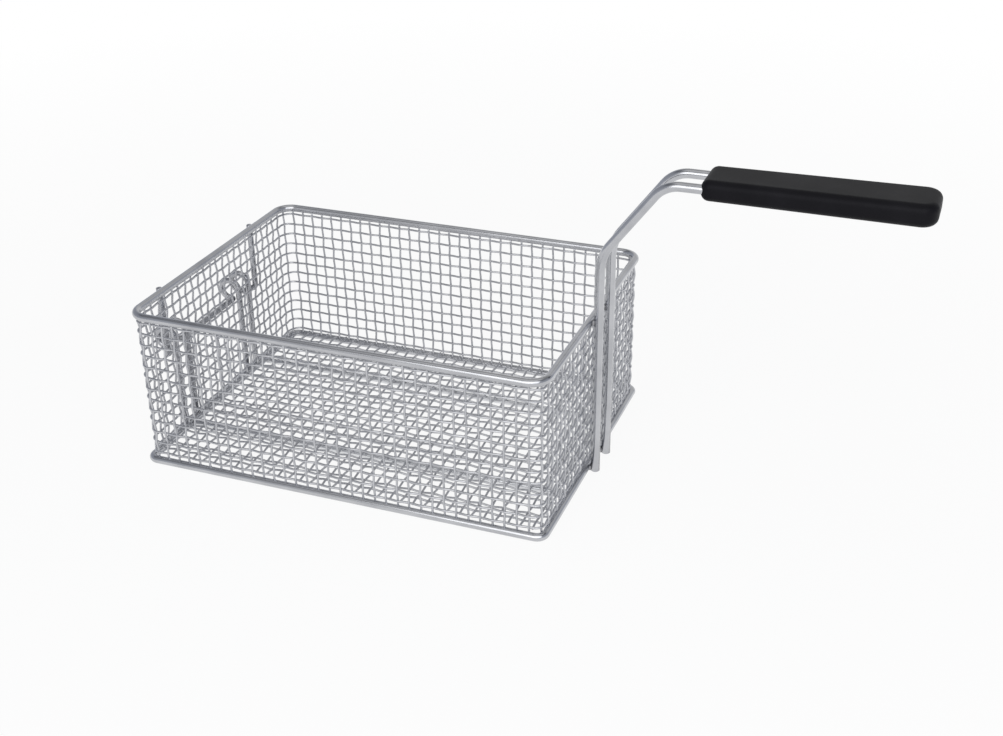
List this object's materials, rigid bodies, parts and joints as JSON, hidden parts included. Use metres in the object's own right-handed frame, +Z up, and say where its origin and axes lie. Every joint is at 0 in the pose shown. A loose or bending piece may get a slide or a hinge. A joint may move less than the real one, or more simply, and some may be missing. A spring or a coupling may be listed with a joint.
{
  "type": "deep fryer basket",
  "caption": "Rectangular wire mesh basket for a deep fryer, with a black grip on a raised wire handle at one end and drain hooks at the other end",
  "frame": {"origin": "middle of the basket on the surface that it stands on, level with the underside of the bottom ring", "axes": "+X along the basket towards the handle, +Y across it, +Z up"},
  "size_m": [0.5177, 0.216, 0.2199],
  "materials": {
    "plated_wire": "bright nickel plated steel wire",
    "plated_cloth": "nickel plated woven steel wire",
    "grip_plastic": "soft black moulded sleeve with a satin surface"
  },
  "bodies": {
    "root": {"top_rim": "plated_wire", "bottom_ring": "plated_wire", "wall_mesh": "plated_cloth", "floor_mesh": "plated_cloth", "front_runner": "plated_wire", "back_runner": "plated_wire", "hanger_bar": "plated_wire", "front_hanger": "plated_wire", "back_hanger": "plated_wire", "handle_rod": "plated_wire", "grip": "grip_plastic"}
  },
  "joints": []
}
